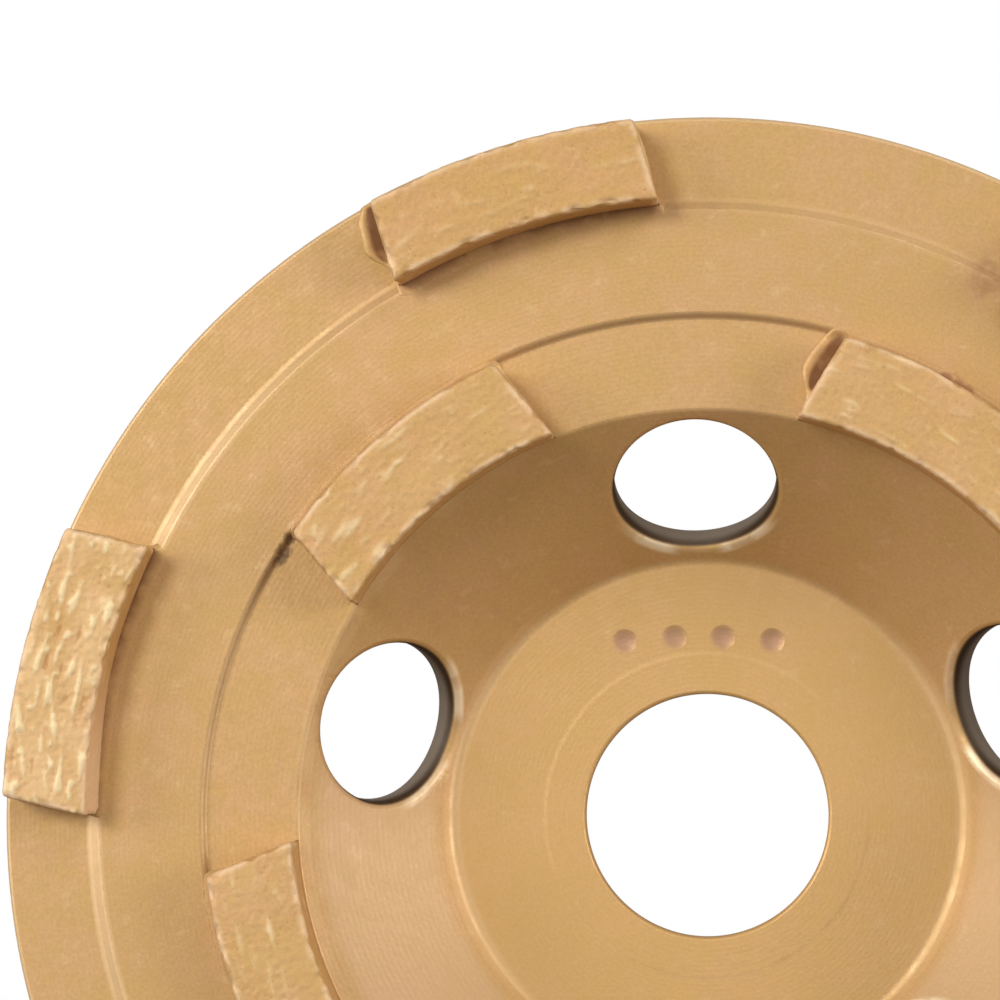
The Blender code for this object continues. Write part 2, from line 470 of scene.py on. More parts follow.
# radii and length of the segments, how many there are, and the bearing of the first one in degrees
OUTER = {"name": "outer", "inner": 54.6 * MM, "outer": 62.0 * MM, "length": 24.5 * MM, "count": 6}
INNER = {"name": "inner", "inner": 36.2 * MM, "outer": 44.1 * MM, "length": 23.3 * MM, "count": 5}
OUTER["first"] = 166.95
INNER["first"] = 130.0


def segment_blank(ring):
    inner, outer, length = ring["inner"], ring["outer"], ring["length"]
    pick_nothing()
    bpy.ops.mesh.primitive_plane_add(size=1, location=(0, 0, 0), rotation=(math.pi / 2, 0, 0))
    blank = new_piece(ring["name"] + "_blank")
    bpy.ops.object.transform_apply(location=False, rotation=True, scale=False)
    set_mode("EDIT")
    pick_all()
    bpy.ops.transform.resize(value=(outer - inner, 1, SEGMENT_TOP - FOOT))
    bpy.ops.transform.translate(value=((outer + inner) / 2, 0, (FOOT + SEGMENT_TOP) / 2))
    reach = math.asin(length / 2 / inner) + SPARE_TURN
    bpy.ops.transform.rotate(value=reach, orient_axis="Z", center_override=(0, 0, 0))
    side = 1 if bmesh.from_edit_mesh(blank.data).verts[:][0].co.y > 0 else -1
    bpy.ops.mesh.spin(steps=24, angle=side * 2 * reach, center=(0, 0, 0), axis=(0, 0, 1))
    face_outwards()
    for end in (1, -1):
        pick_all()
        cut = {"plane_co": (0, end * length / 2, 0), "plane_no": (0, end, 0)}
        bpy.ops.mesh.bisect(**cut, use_fill=True, clear_outer=True, clear_inner=False)
    pick_all()
    bpy.ops.mesh.remove_doubles(threshold=SAME_PLACE)
    face_outwards()
    bpy.ops.mesh.select_mode(type="EDGE")
    bpy.ops.mesh.select_all(action="DESELECT")
    bpy.ops.mesh.edges_select_sharp(sharpness=math.radians(40))
    bpy.ops.mesh.bevel(offset=SEGMENT_EDGE, segments=3, profile=0.5, affect="EDGES")
    set_mode("OBJECT")
    skin = blank.modifiers.new("even skin", "REMESH")
    skin.mode = "VOXEL"
    skin.voxel_size = SKIN_FACE
    skin.use_smooth_shade = True
    bpy.ops.object.modifier_apply(modifier=skin.name)
    return blank


blanks = {ring["name"]: segment_blank(ring) for ring in (OUTER, INNER)}
for blank in blanks.values():
    print(blank.name, len(blank.data.vertices), "points, size", in_mm(blank.dimensions))

# %% [markdown]
# ## The rough skin
# On the real segments the diamond grains stand proud of the metal, each with a short tail along the arc,
# and the edges are chipped. Paint covers it all. A bump in the material would look flat from the side, so
# the skin is really moved, point by point, along its normal. Noise is read in arc coordinates: along the
# ring, across it and up. Stretching it along the ring draws the tails. One segment also has an inner side
# that leans in to the axis and is painted pale there as a painted highlight. What was moved is kept in
# four attributes for the paint: grain, worn edges with the leaning side's painted highlight, the foot for
# painted shade, and how much the top is rubbed.

# %% The rough skin
# size of the lumps in mm: along the ring, across it, up
BROAD, TAILS = (5.5, 3.0, 3.0), (2.8, 0.62, 0.62)
GRAINS, FINE = (0.95, 0.6, 0.6), (0.42, 0.36, 0.36)
# heights in mm
TOP_GRAIN, SIDE_GRAIN = 0.24, 0.035
TOP_FINE, SIDE_FINE = 0.04, 0.014
TOP_WAVES, CHIP_DEPTH, LEAN_DEPTH = 0.05, 0.45, 0.55


def smooth_share(value, low, high):
    share = min(max((value - low) / (high - low), 0), 1)
    return share * share * (3 - 2 * share)


def lumps(arc, size, shift):
    return noise.noise(Vector((arc.x / size[0], arc.y / size[1], arc.z / size[2])) + shift)


def edge_share(ring, place, radius):
    """1 on the edges of a segment, where two of its three outer distances are small."""
    across = min(radius - ring["inner"], ring["outer"] - radius)
    gaps = sorted((SEGMENT_TOP - place.z, across, ring["length"] / 2 - abs(place.y)))
    return 1 - smooth_share(gaps[1], 0.25 * MM, 0.75 * MM)


def roughen(piece, ring, seed, strength, rubbed, leaning):
    """Moves the skin of a segment that still lies on +X, and stores what its paint needs."""
    middle_radius = (ring["inner"] + ring["outer"]) / 2
    shift = Vector((seed * 17.31, seed * 5.77, seed * 3.13))
    kept = {"grain": [], "wear": [], "foot": [], "rub": []}
    moved = []
    for point in piece.data.vertices:
        place, normal = point.co, point.normal
        radius = math.hypot(place.x, place.y)
        arc = Vector((math.atan2(place.y, place.x) * middle_radius, radius, place.z)) / MM
        high_up = smooth_share(place.z, SEGMENT_TOP - 1.0 * MM, SEGMENT_TOP - 0.4 * MM)
        top = smooth_share(normal.z, 0.5, 0.9) * high_up
        edge = edge_share(ring, place, radius)
        broad = lumps(arc, BROAD, shift)
        tails = lumps(arc, TAILS, shift * 2)
        grains = lumps(arc, GRAINS, shift * 3)
        fine = lumps(arc, FINE, shift * 4)
        proud = max(tails - 0.14, 0) * 1.3 + max(grains - 0.30, 0) * 1.0
        sunk = max(-tails - 0.38, 0) * 0.8 + max(-grains - 0.40, 0) * 0.7
        relief = (proud - sunk) * (TOP_GRAIN * strength * top + SIDE_GRAIN * (1 - top))
        relief += fine * (TOP_FINE * strength * top + SIDE_FINE)
        relief += broad * TOP_WAVES * top
        chip = edge * max(noise.noise(arc / 1.1 + shift * 5) - 0.05, 0) * CHIP_DEPTH
        place = place + normal * (relief - chip) * MM
        # the side leans more towards the end that comes last
        lean = smooth_share(place.y / ring["length"], -0.15, 0.40) * leaning
        on_side = 1 - smooth_share(radius - ring["inner"], 0.1 * MM, 0.5 * MM)
        below = min(max((SEGMENT_TOP - place.z) / (SEGMENT_TOP - SEAT_LEVEL), 0), 1)
        inwards = Vector((-place.x, -place.y, 0)).normalized()
        moved.append(place + inwards * (lean * on_side * below * LEAN_DEPTH * MM))
        patches = smooth_share(noise.noise(arc / 1.7 + shift * 6) + 0.35, 0.0, 0.5)
        kept["grain"].append(0.5 + (proud - sunk + fine * 0.12) * (top * strength + 0.25 * (1 - top)) * 1.1)
        # worn chipped edges, and the painted highlight on the leaning inner side
        kept["wear"].append(max(edge * patches, lean * on_side * 1.3))
        low_down = 1 - smooth_share(place.z, SEAT_LEVEL + 0.1 * MM, SEAT_LEVEL + 1.3 * MM)
        # painted shade at the foot, kept off the lit leaning side
        kept["foot"].append((1 - lean) * low_down)
        kept["rub"].append(rubbed * (0.75 + 0.9 * broad) * top)
    for point, place in zip(piece.data.vertices, moved):
        point.co = place
    for label, values in kept.items():
        store(piece, label, values)
    piece.data.update()


print("widest and finest lumps in mm:", BROAD, FINE)

# %% [markdown]
# ## Braze round the foot
# Braze runs out from under a segment and sets as a low bead. At three ends in each ring it runs out wide
# and leaves a crevice behind it, which is painted dark as painted shade. On the side that faces the ridge it
# fills the narrow gap level with the ridge and is painted dark there as the segment's painted shadow.
# Elsewhere it is thin. A torus is already a closed ring with a closed section, so it is the natural start.
# Its long way is laid round the foot's outline and its short way becomes the bead: up from the seat, over
# the crest, down into the crevice, and back under the seat. Noise makes it run out unevenly.

# %% The foot's outline
BEAD_LONG = 260


def on_arc(radius, turn):
    return Vector((radius * math.cos(turn), radius * math.sin(turn)))


def foot_outline(ring):
    """Points round the foot, each with its outward direction and the side of the segment it lies on."""
    inner, outer, half = ring["inner"], ring["outer"], ring["length"] / 2
    inner_turn, outer_turn = math.asin(half / inner), math.asin(half / outer)
    inner_x, outer_x = math.sqrt(inner**2 - half**2), math.sqrt(outer**2 - half**2)
    end = outer_x - inner_x
    lengths = {"inner": 2 * inner_turn * inner, "right": end, "outer": 2 * outer_turn * outer, "left": end}
    total = sum(lengths.values())
    outline = []
    for step in range(BEAD_LONG):
        walked = total * (step + 0.5) / BEAD_LONG
        for side, length in lengths.items():
            if walked < length:
                break
            walked -= length
        if side == "inner":
            turn = inner_turn - walked / inner
            outline.append((on_arc(inner, turn), -on_arc(1, turn), side))
        elif side == "right":
            outline.append((Vector((inner_x + walked, -half)), Vector((0, -1)), side))
        elif side == "outer":
            turn = walked / outer - outer_turn
            outline.append((on_arc(outer, turn), on_arc(1, turn), side))
        else:
            outline.append((Vector((outer_x - walked, half)), Vector((0, 1)), side))
    return outline


print("points round a foot:", len(foot_outline(OUTER)))

# %% The bead
# over the seat: share of the width, height as a share of the crest, mask of painted crevice shade
BEAD_TOP = ((0.0, 0.3, 1.0), (0.2, 0.06, 1.0), (0.42, 0.03, 0.95), (0.58, 0.4, 0.55))
BEAD_TOP += ((0.7, 0.9, 0.15), (0.82, 0.9, 0.0), (0.92, 0.4, 0.0), (1.0, -0.25, 0.0))
BEAD_UNDER = (1.0, 0.75, 0.5, 0.25, 0.0, -0.2)
BEAD_SHORT = len(BEAD_TOP) + len(BEAD_UNDER)
# strength of the segment's painted shadow on the filled side of the bead
FLUSH_SHADOW = 0.75
# least and most width in mm on each side of a segment; the left end is wide at the open ones
OPEN_END, TIGHT_END, RIGHT_END = (1.7, 2.4), (0.15, 0.4), (0.1, 0.3)
OPEN_NUMBERS = (2, 3, 5)
LONG_SIDES = {
    "outer": {"inner": (1.1, 1.5), "outer": (0.12, 0.26)},
    "inner": {"inner": (0.02, 0.05), "outer": (0.7, 1.1)},
}
FLUSH_SIDE = {"outer": "inner", "inner": "outer"}


def bead_profile(width, crest, open_share, shadow_share):
    """Offsets from the segment and heights once round the bead, with a mask of painted shade for each."""
    section = []
    for share, rise, mask in BEAD_TOP:
        slope = 1.4 * (1 - share) ** 1.5
        rise = slope + (rise - slope) * open_share
        section.append((share * width, rise * crest, max(mask * open_share, shadow_share * (1 - share) ** 0.7)))
    return section + [(share * width, -0.1 * MM, 0.0) for share in BEAD_UNDER]


def cup_level(radius):
    """Height of the cup's front between the mouth and the rim."""
    (inner_foot, inner_top), (outer_foot, outer_top) = INNER_SHOULDER, OUTER_SHOULDER
    up = min(max((radius - inner_foot) / (inner_top - inner_foot), 0), 1)
    down = min(max((outer_foot - radius) / (outer_foot - outer_top), 0), 1)
    return SEAT_LEVEL + (RIDGE - SEAT_LEVEL) * min(up, down)


def smoothed(values):
    """Takes the mean with both neighbours round the ring, five times over."""
    for again in range(5):
        values = [(values[i - 1] + values[i] + values[(i + 1) % BEAD_LONG]) / 3 for i in range(BEAD_LONG)]
    return values


def bead_widths(ring, number, outline, shift):
    """Width of the bead at each point of the outline. A wide end narrows towards both corners."""
    left_end = OPEN_END if number in OPEN_NUMBERS else TIGHT_END
    rooms = {**LONG_SIDES[ring["name"]], "left": left_end, "right": RIGHT_END}
    middle_radius = (ring["inner"] + ring["outer"]) / 2
    widths = []
    for at, out, side in outline:
        uneven = 0.5 + 0.5 * noise.noise(Vector((at.x, at.y, 0)) / MM / 2.3 + shift)
        narrow, wide = rooms[side]
        if side in ("left", "right"):
            to_corner = (ring["outer"] - ring["inner"]) / 2 - abs(at.x - middle_radius)
            least = 0.05 if at.x < middle_radius else 0.25
            share = least + (1 - least) * smooth_share(to_corner, 0, 2.4 * MM)
            narrow, wide = narrow * share, wide * share
        widths.append((narrow + (wide - narrow) * uneven) * MM)
    return smoothed(widths)


def braze_bead(ring, number, seed):
    torus = {"major_segments": BEAD_LONG, "minor_segments": BEAD_SHORT}
    pick_nothing()
    bpy.ops.mesh.primitive_torus_add(**torus, major_radius=20 * MM, minor_radius=1 * MM)
    bead = new_piece("bead")
    outline = foot_outline(ring)
    shift = Vector((seed * 7.7, seed * 2.9, seed * 11.3))
    widths = bead_widths(ring, number, outline, shift)
    flush = smoothed([1.0 if side == FLUSH_SIDE[ring["name"]] else 0.0 for at, out, side in outline])
    crevice = []
    for index, point in enumerate(bead.data.vertices):
        long_step, short_step = divmod(index, BEAD_SHORT)
        at, out, side = outline[long_step]
        out = (outline[long_step - 2][1] + outline[(long_step + 2) % BEAD_LONG][1] + out).normalized()
        width, is_flush = widths[long_step], flush[long_step]
        crest = (0.07 + 0.025 * width / MM) * (1 - 0.6 * is_flush) * MM
        open_share = smooth_share(width, 0.5 * MM, 1.3 * MM) * (1 - is_flush)
        # the mask is painted shade: dark in the crevice, and the segment's shadow on the filled side
        offset, level, mask = bead_profile(width, crest, open_share, FLUSH_SHADOW * is_flush)[short_step]
        uneven = noise.noise(Vector((at.x, at.y, offset)) / MM / 0.8 + shift)
        ripple = (0.02 if short_step < 4 else uneven * 0.03 if short_step < 7 else -0.015) * MM
        spot = at + out * offset
        base = cup_level(spot.length)
        base += (RIDGE - base) * is_flush
        point.co = Vector((spot.x, spot.y, base + level + ripple * (1 - 0.8 * is_flush)))
        crevice.append(mask)
    store(bead, "crevice", crevice)
    set_mode("EDIT")
    face_outwards()
    set_mode("OBJECT")
    bpy.ops.object.shade_smooth()
    return bead


print("bead faces per segment:", BEAD_LONG * BEAD_SHORT)

# %% [markdown]
# ## Helpers for materials
# Each finish is a small network of nodes. A helper adds one node, fills its sockets with values or with
# links, and sets it to the right of what feeds it. An effect that several finishes share becomes a node
# group. It gives out only colours, masks, values and heights, and the shader stays in each material.

# %% Helpers for materials
COLUMN, ROW = 220, 200


class Network:
    """A tree of nodes that is drawn from left to right."""

    def __init__(self, tree):
        self.tree = tree
        self.rows_used = {}

    def fill(self, node, inputs):
        for socket, value in inputs.items():
            if isinstance(value, bpy.types.NodeSocket):
                self.tree.links.new(value, node.inputs[socket])
            else:
                node.inputs[socket].default_value = value
        feeding = [link.from_node.location.x for socket in node.inputs for link in socket.links]
        column = max(feeding, default=-COLUMN) + COLUMN
        row = self.rows_used.get(column, 0)
        self.rows_used[column] = row + 1
        node.location = (column, -ROW * row)
        return node

    def add(self, kind, inputs, **settings):
        made = self.tree.nodes.new("ShaderNode" + kind)
        for label, value in settings.items():
            setattr(made, label, value)
        return self.fill(made, inputs).outputs

    def use(self, group, inputs):
        return self.add("Group", inputs, node_tree=group)

    def math(self, operation, first, second=0.0, clamp=False):
        return self.add("Math", {0: first, 1: second}, operation=operation, use_clamp=clamp)[0]

    def times(self, first, second, clamp=False):
        return self.math("MULTIPLY", first, second, clamp)

    def products(self, operation, first, by_first, second, by_second):
        return self.math(operation, self.times(first, by_first), self.times(second, by_second))

    def vector(self, operation, first, second):
        return self.add("VectorMath", {0: first, 1: second}, operation=operation)[0]

    def mix(self, share, under, over, kind="MIX"):
        return self.add("MixRGB", {"Fac": share, "Color1": under, "Color2": over}, blend_type=kind)[0]

    def step(self, value, low, high, to_low=0.0, to_high=1.0):
        ends = {"Value": value, "From Min": low, "From Max": high, "To Min": to_low, "To Max": to_high}
        return self.add("MapRange", ends, interpolation_type="SMOOTHSTEP")[0]

    def noise(self, where, scale, detail, roughness=0.5):
        inputs = {"Vector": where, "Scale": scale, "Detail": detail, "Roughness": roughness}
        return self.add("TexNoise", inputs)

    def stored(self, label):
        return self.add("Attribute", {}, attribute_name=label)["Fac"]

    def from_axis(self, where):
        flat = self.vector("MULTIPLY", where, (1, 1, 0))
        return self.add("VectorMath", {0: flat}, operation="LENGTH")["Value"]

    def give(self, **values):
        """Ends a group with its output node."""
        self.fill(self.tree.nodes.new("NodeGroupOutput"), values)


def new_group(name, inputs, outputs):
    """An empty group as a network, and the sockets that its users fill."""
    group = bpy.data.node_groups.new(name, "ShaderNodeTree")
    for label, value in {"Place": (0, 0, 0), **inputs}.items():
        kind = "Float" if isinstance(value, float) else "Color" if len(value) == 4 else "Vector"
        socket = group.interface.new_socket(label, in_out="INPUT", socket_type="NodeSocket" + kind)
        socket.default_value = value
    for label in outputs:
        kind = "Color" if label == "Colour" else "Float"
        group.interface.new_socket(label, in_out="OUTPUT", socket_type="NodeSocket" + kind)
    net = Network(group)
    return net, net.fill(group.nodes.new("NodeGroupInput"), {}).outputs


def new_material(name, metallic):
    material = bpy.data.materials.new(name)
    material.use_nodes = True
    net = Network(material.node_tree)
    shader = material.node_tree.nodes["Principled BSDF"]
    shader.inputs["Metallic"].default_value = metallic
    return material, net, shader, net.add("TexCoord", {})["Object"]


def finish_material(net, shader, colour, roughness, height, depth):
    bump = net.add("Bump", {"Height": height, "Distance": depth})[0]
    net.fill(shader, {"Base Color": colour, "Roughness": roughness, "Normal": bump})
    net.fill(net.tree.nodes["Material Output"], {})


print("helpers:", [name for name in vars(Network) if not name.startswith("_")])

# %% [markdown]
# ## Gold coat
# The paint is a satin gold with fine metal flake. Seen close it isn't even: it drifts between a yellower
# and a pinker gold over a few millimetres, has small pale freckles, and a fine orange-peel skin. Four
# noises of different scale give these. The group is shared by the cup, the segments and the braze.

# %% Gold coat
GOLD = (0.62, 0.38, 0.148, 1)
YELLOW = (0.62, 0.39, 0.134, 1)
PINK = (0.67, 0.395, 0.19, 1)
FRECKLE = (0.86, 0.62, 0.34, 1)

coat_inputs = {"Gold": GOLD, "Yellow": YELLOW, "Pink": PINK, "Drift": 0.5, "Freckles": 0.2}
net, given = new_group("gold_coat", coat_inputs, ("Colour", "Roughness", "Height"))
where = given["Place"]
drift, patch = net.noise(where, 170, 3, 0.55)[0], net.noise(where, 520, 4, 0.6)[0]
flake, peel = net.noise(where, 3400, 2, 0.6)[0], net.noise(where, 1300, 2)[0]
to_pink = net.times(net.step(drift, 0.38, 0.66), given["Drift"])
to_yellow = net.times(net.step(patch, 0.45, 0.7), given["Drift"])
freckle = net.times(net.step(patch, 0.30, 0.40, 1.0, 0.0), given["Freckles"])
colour = net.mix(to_pink, given["Gold"], given["Pink"])
colour = net.mix(to_yellow, colour, given["Yellow"])
colour = net.mix(freckle, colour, FRECKLE)
colour = net.mix(1.0, colour, net.step(flake, 0.25, 0.75, 0.94, 1.06), "MULTIPLY")
roughness = net.step(patch, 0.3, 0.7, 0.46, 0.58)
net.give(Colour=colour, Roughness=roughness, Height=net.products("ADD", peel, 0.6, flake, 0.4))
gold_coat = net.tree
print("gold_coat nodes:", len(gold_coat.nodes))

# %% [markdown]
# ## Masks by place
# The cup is round, so many of its marks are rings: a painted highlight on a shoulder, painted shade in a
# corner. A ring mask compares the distance from the axis with a radius. A spot mask compares the distance
# from one point. The hole mask is one drill hole repeated five times: the angle round the axis is wrapped
# to one fifth of a turn, and what is left is the distance from a slanting line. It gives the hole's wall,
# the lower sides of its front lip, where a highlight is painted, and how far back on the wall a point lies.

# %% Rings and spots
net, given = new_group("ring_mask", {"Radius": 0.05, "Reach": 0.0005}, ["Mask"])
off_ring = net.math("SUBTRACT", net.from_axis(given["Place"]), given["Radius"])
share = net.math("DIVIDE", net.math("ABSOLUTE", off_ring), given["Reach"])
net.give(Mask=net.step(share, 0.35, 1.0, 1.0, 0.0))
ring_mask = net.tree

net, given = new_group("spot_mask", {"Centre": (0, 0, 0), "Reach": 0.001}, ["Mask"])
both = {0: given["Place"], 1: given["Centre"]}
away = net.add("VectorMath", both, operation="DISTANCE")["Value"]
net.give(Mask=net.step(net.math("DIVIDE", away, given["Reach"]), 0.45, 1.0, 1.0, 0.0))
spot_mask = net.tree


def spot(net, where, centre, reach):
    return net.use(spot_mask, {"Place": where, "Centre": centre, "Reach": reach})["Mask"]


print("nodes in the two masks:", len(ring_mask.nodes), len(spot_mask.nodes))

# %% Holes
net, given = new_group("hole_mask", {}, ["Wall", "Lip", "Back"])
parts = net.add("SeparateXYZ", {0: given["Place"]})
length = net.from_axis(given["Place"])
bearing = net.math("SUBTRACT", net.math("ARCTAN2", parts["Y"], parts["X"]), FIRST_HOLE)
half_step = math.pi / HOLE_COUNT
bearing = net.add("Math", {0: bearing, 1: half_step, 2: -half_step}, operation="WRAP")[0]
across = net.times(length, net.math("SINE", bearing))
outward = net.times(length, net.math("COSINE", bearing))
outward = net.math("SUBTRACT", outward, HOLE_MIDDLE.x)
above = net.math("SUBTRACT", parts["Z"], HOLE_MIDDLE.z)
up_wall = net.products("ADD", outward, math.cos(SLOPE), above, math.sin(SLOPE))
deep = net.products("SUBTRACT", outward, math.sin(SLOPE), above, math.cos(SLOPE))
squared = net.products("ADD", up_wall, up_wall, across, across)
away = net.math("SUBTRACT", net.math("SQRT", squared), HOLE_RADIUS)
wall = net.step(away, 0.06 * MM, 0.28 * MM, 1.0, 0.0)
near = net.step(away, 0.75 * MM, 1.2 * MM, 1.0, 0.0)
sideways = net.step(net.math("ABSOLUTE", across), 1.4 * MM, 3.0 * MM)
low_sides = net.times(net.step(up_wall, -3.2 * MM, -5.5 * MM), sideways)
back = net.step(deep, 0.2 * MM, 1.5 * MM)
# the lip mask marks where a highlight is painted
lip = net.times(net.math("SUBTRACT", near, wall, True), low_sides)
net.give(Wall=wall, Lip=net.math("SUBTRACT", lip, back, True), Back=back)
hole_mask = net.tree
print("hole_mask nodes:", len(hole_mask.nodes))

# %% [markdown]
# ## The cup's paint
# The cup gets the gold coat. The hub is painted a paler, yellower gold: painted light where the cup's
# walls shade it. The lower half of the cone is painted paler too: a painted sheen. One could paint such
# fields by hand on an image. Steps in the distance from the axis and in the place up and down the picture
# keep to the wheel's own forms and stay sharp at any size.

# %% The cup's ground colours
# painted light: the hub is painted paler where the cup's walls shade it
HUB_PAINTED_LIGHT = (0.76, 0.475, 0.175, 1)
# painted sheen on the lower half of the cone
CONE_SHEEN = (0.78, 0.58, 0.38, 1)
GOLD_PAINT = {"Gold": GOLD, "Yellow": YELLOW, "Pink": PINK, "Drift": 0.55}

cup_paint, net, shader, where = new_material("painted_steel", 0.40)
coat = net.use(gold_coat, {"Place": where, **GOLD_PAINT, "Freckles": 0.18})
parts = net.add("SeparateXYZ", {0: where})
from_axis = net.from_axis(where)
on_hub = net.step(from_axis, 23.8 * MM, 22.4 * MM, 0.0, 0.4)
on_cone = net.step(from_axis, 23.8 * MM, 25.5 * MM)
on_cone = net.times(on_cone, net.step(from_axis, 36.0 * MM, 33.5 * MM))
# painted sheen, paler towards the lower half of the cone
painted_cone_sheen = net.times(on_cone, net.step(parts["Y"], 13 * MM, -2 * MM, 0.0, 0.38))
# paints the hub paler, as painted light
colour = net.mix(on_hub, coat["Colour"], HUB_PAINTED_LIGHT)
colour = net.mix(painted_cone_sheen, colour, CONE_SHEEN)
print("ground colours:", len(net.tree.nodes), "nodes")

# %% [markdown]
# ## Painted highlights and shade on rings
# Pale rings are painted highlights where turned forms catch the light: the outer shoulder, most of all on
# the left, the cup's mouth on the left, the rim's edge, the step round the bore and the bend round the hub.
# A thin grey line in the corner of the inner shoulder is painted shade. Each is a ring mask times a place
# where it shows, and noise breaks some up. Height keeps the front's rings off the back.

# %% Painted highlights and shade on rings
# pale colour of the painted highlights on the rings that catch the light
HIGHLIGHT_PALE = (0.86, 0.60, 0.33, 1)
# painted shade in the corner of the inner shoulder
SHADE_GREY = (0.50, 0.36, 0.22, 1)

breakup = net.noise(where, 260, 3)[0]
ring_breakup = net.step(breakup, 0.35, 0.6)
rim_front = net.step(parts["Z"], 13.4 * MM, 14.6 * MM)
hub_front = net.step(parts["Z"], 1.5 * MM, 2.5 * MM)
shoulder_left = net.times(net.step(parts["X"], -46 * MM, -30 * MM, 1.0, 0.25), rim_front)
mouth_left = net.times(net.step(parts["X"], -34 * MM, -10 * MM, 1.0, 0.1), rim_front)
hub_sides = net.step(net.math("ABSOLUTE", parts["X"]), 12 * MM, 21 * MM)
hub_sides = net.times(hub_sides, hub_front)
# radius and reach in mm, strength, whether noise breaks it up, colour, where it shows
# every ring here is painted light: the pale ones are painted highlights, the grey one is painted shade
light_and_shade_rings = (
    (54.5, 0.95, 0.60, False, HIGHLIGHT_PALE, shoulder_left),
    (35.9, 0.9, 0.30, True, HIGHLIGHT_PALE, mouth_left),
    # painted shade line in the inner shoulder's corner
    (44.6, 0.40, 0.30, False, SHADE_GREY, rim_front),
    (14.85, 0.3, 0.12, True, HIGHLIGHT_PALE, hub_front),
    (23.4, 1.0, 0.35, False, HIGHLIGHT_PALE, hub_sides),
    (62.5, 0.5, 0.75, False, HIGHLIGHT_PALE, 1.0),
)
for radius, reach, share, broken, tint, shows in light_and_shade_rings:
    ring = net.use(ring_mask, {"Place": where, "Radius": radius * MM, "Reach": reach * MM})
    band = net.times(net.times(ring["Mask"], share), shows)
    if broken:
        band = net.times(band, ring_breakup)
    # paints each ring's highlight or shade
    colour = net.mix(band, colour, tint)
print("rings:", len(light_and_shade_rings))

# %% [markdown]
# ## Marks and painted shade
# The punch marks are a purple grey. A dark spot of painted shade lies in the gap at the corner of an inner
# segment on the left, with a cream fleck beside it, and dark reddish painted shade lies in the crevices
# beside the segments at two places on the right. Round spots would look like beads, so the place that a
# spot mask reads is first moved about by noise, and finer noise then makes the spot patchy.

# %% Marks and painted shade
MARK_TINT = (0.42, 0.23, 0.18, 1)
# the dark brown and the dark reddish colours are painted shade in gaps beside the segments; the cream is a
# fleck
PIT_SHADE, REDDISH_SHADE, CREAM = (0.15, 0.085, 0.04, 1), (0.25, 0.09, 0.05, 1), (0.88, 0.68, 0.40, 1)
# place across and up in mm, reach in mm, strength, colour
# spots of painted shade at an inner segment's corner and in crevices at the upper right, and one cream fleck
SHADE_AND_FLECK_SPOTS = (
    (-36.6, 26.1, 0.8, 0.7, CREAM),
    (-37.0, 24.8, 0.85, 0.9, PIT_SHADE),
    (-37.5, 24.1, 0.85, 0.9, PIT_SHADE),
    (-37.9, 23.4, 0.75, 0.8, PIT_SHADE),
    (-38.3, 22.7, 0.6, 0.6, PIT_SHADE),
    # dark reddish painted shade in crevices beside the segments at the upper right
    (21.3, 39.2, 0.7, 0.5, REDDISH_SHADE),
    (22.4, 38.6, 0.8, 0.65, REDDISH_SHADE),
    (23.6, 37.9, 0.7, 0.65, REDDISH_SHADE),
    (25.2, 47.6, 2.2, 0.30, REDDISH_SHADE),
)

for mark in MARKS:
    colour = net.mix(net.times(spot(net, where, mark, 1.4 * MM), 0.6), colour, MARK_TINT)
wander = net.vector("SUBTRACT", net.noise(where, 800, 3)["Color"], (0.5, 0.5, 0.5))
wander = net.vector("MULTIPLY", wander, (2.2 * MM, 2.2 * MM, 0))
strayed = net.vector("ADD", where, wander)
patchy = net.step(net.noise(where, 1100, 2)[0], 0.30, 0.60, 0.45, 1.0)
# paints the spots of shade and the cream fleck
for x, y, reach, share, tint in SHADE_AND_FLECK_SPOTS:
    shade_and_fleck = net.times(spot(net, strayed, (x * MM, y * MM, SEAT_LEVEL), reach * MM), patchy)
    colour = net.mix(net.times(shade_and_fleck, share), colour, tint)
print("marks:", len(MARKS), "spots of dirt:", len(SHADE_AND_FLECK_SPOTS))

# %% [markdown]
# ## Hole walls and turning rings
# The walls of the holes are painted nearly black in front and a dull grey further back, and the lower sides
# of the lip are painted pale, a painted highlight where they catch the light. The rings of the last turning
# cut show faintly on the flats, so a wave in the distance from the axis joins the bump.

# %% Hole walls and turning rings
# painted highlight on the lower sides of the hole lips
LIP_HIGHLIGHT = (0.93, 0.75, 0.50, 1)
DARK_WALL = (0.06, 0.028, 0.012, 1)
GREY_WALL = (0.42, 0.35, 0.28, 1)
CUT_SPACING = 0.45 * MM

hole = net.use(hole_mask, {"Place": where})
# paints the highlight on the hole lips
lip = net.times(hole["Lip"], net.step(breakup, 0.40, 0.52, 0.35, 0.95))
colour = net.mix(lip, colour, LIP_HIGHLIGHT)
wall_colour = net.mix(hole["Back"], DARK_WALL, GREY_WALL)
colour = net.mix(net.times(hole["Wall"], 0.95), colour, wall_colour)
cuts = net.math("SINE", net.times(from_axis, 2 * math.pi / CUT_SPACING))
height = net.math("ADD", coat["Height"], net.times(cuts, 0.05))
finish_material(net, shader, colour, coat["Roughness"], height, 0.03 * MM)
cup.data.materials.append(cup_paint)
print("cup paint nodes:", len(net.tree.nodes))

# %% [markdown]
# ## The segments' paint
# The same coat lies on the sintered metal, but thinner. On the proud grains it is rubbed to a pale cream,
# in the pits it stays a dark orange, chipped edges are pale, the leaning inner side is painted pale as a
# painted highlight, and the foot is painted dark as painted shade. All follow the skin that was really
# moved, so they are read from its attributes and not from a second noise that wouldn't line up.

